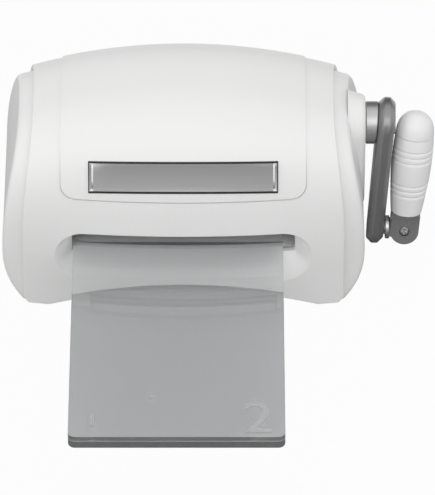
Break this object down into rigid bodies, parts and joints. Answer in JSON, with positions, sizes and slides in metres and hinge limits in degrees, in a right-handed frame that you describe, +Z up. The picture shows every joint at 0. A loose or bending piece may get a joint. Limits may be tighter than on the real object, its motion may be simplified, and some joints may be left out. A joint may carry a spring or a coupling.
{
  "type": "die cutting machine",
  "caption": "Hand-cranked die cutting machine: a barrel-shaped housing over geared rollers, a side crank with a folding handle, and clear cutting plates that feed through the slot.",
  "frame": {"origin": "on the bench, in the middle of the whole machine's bounding box with its plates and handle at rest", "axes": "+X to the operator's right, along the roller axes towards the crank; +Y away from the operator, the way the plates feed; +Z up"},
  "size_m": [0.3184, 0.357, 0.162],
  "materials": {
    "white_shell": "satin moulded white",
    "chrome": "bright",
    "zinc_sheet": "zinc plated sheet",
    "black_rubber": "matt",
    "satin_steel": "satin turned steel",
    "bronze": "sintered bronze",
    "gear_steel": "plain steel",
    "grey_paint": "semi-gloss grey",
    "white_grip": "satin moulded white",
    "clear_plate": "clear, polished"
  },
  "bodies": {
    "housing": {"base_plate": "zinc_sheet", "cover_screw_front_left": "gear_steel", "cover_screw_front_right": "gear_steel", "cover_screw_rear_left": "gear_steel", "cover_screw_rear_right": "gear_steel", "crank_bush_inner": "bronze", "crank_bush_outer": "bronze", "foot_front_left": "black_rubber", "foot_front_right": "black_rubber", "foot_rear_left": "black_rubber", "foot_rear_right": "black_rubber", "frame_screw_front_left": "gear_steel", "frame_screw_front_right": "gear_steel", "frame_screw_rear_left": "gear_steel", "frame_screw_rear_right": "gear_steel", "front_feed_table": "zinc_sheet", "gearbox_plate": "zinc_sheet", "gearbox_spacer_front": "satin_steel", "gearbox_spacer_rear": "satin_steel", "left_frame": "zinc_sheet", "left_side_cover": "white_shell", "lower_bush_left": "bronze", "lower_bush_right": "bronze", "lower_tie_rod_front": "satin_steel", "lower_tie_rod_rear": "satin_steel", "main_cover": "white_shell", "nameplate": "chrome", "rear_feed_table": "zinc_sheet", "right_frame": "zinc_sheet", "right_side_cover": "white_shell", "side_cover_screw_front_left": "gear_steel", "side_cover_screw_front_right": "gear_steel", "side_cover_screw_rear_left": "gear_steel", "side_cover_screw_rear_right": "gear_steel", "top_panel": "white_shell", "upper_bush_left": "bronze", "upper_bush_right": "bronze", "upper_tie_rod_front": "satin_steel", "upper_tie_rod_rear": "satin_steel"},
    "upper_roller": {"upper_roller": "satin_steel", "upper_roller_gear": "gear_steel", "upper_roller_clip": "gear_steel"},
    "lower_roller": {"lower_roller": "satin_steel", "lower_roller_gear": "gear_steel", "lower_roller_clip": "gear_steel"},
    "crank": {"crank_shaft": "satin_steel", "crank_pinion": "gear_steel", "crank_collar": "satin_steel", "crank_arm": "grey_paint", "crank_arm_screw": "satin_steel"},
    "swivel": {"swivel_pin": "satin_steel", "swivel_clip": "gear_steel"},
    "handle": {"handle_fork": "grey_paint", "fold_screw": "satin_steel", "fold_nut": "satin_steel", "handle_grip": "white_grip", "grip_screw": "satin_steel", "grip_cap": "white_grip"},
    "plates": {"lower_cutting_plate": "clear_plate", "upper_cutting_plate": "clear_plate"}
  },
  "joints": [
    {"name": "crank_turn", "type": "hinge", "parent": "housing", "child": "crank", "pos_m": [0.08336, 0.0985, 0.1175], "axis": [1, 0, 0], "continuous": true},
    {"name": "upper_roller_turn", "type": "hinge", "parent": "housing", "child": "upper_roller", "pos_m": [-0.02664, 0.0985, 0.0795], "axis": [1, 0, 0], "continuous": true},
    {"name": "lower_roller_turn", "type": "hinge", "parent": "housing", "child": "lower_roller", "pos_m": [-0.02664, 0.0985, 0.0315], "axis": [1, 0, 0], "continuous": true},
    {"name": "handle_swivel", "type": "hinge", "parent": "crank", "child": "swivel", "pos_m": [0.13797, 0.07611, 0.03395], "axis": [1, 0, 0], "continuous": true},
    {"name": "handle_fold", "type": "hinge", "parent": "swivel", "child": "handle", "pos_m": [0.13797, 0.07611, 0.03395], "axis": [0, 0.9659, -0.2588], "range_deg": [0, 84.5]},
    {"name": "plate_feed", "type": "slide", "parent": "housing", "child": "plates", "axis": [0, 1, 0], "range_m": [-0.01, 0.265]}
  ],
  "couplings": [
    {"joint": "upper_roller_turn", "follows": "crank_turn", "ratio": -0.58333},
    {"joint": "lower_roller_turn", "follows": "crank_turn", "ratio": 0.58333}
  ]
}
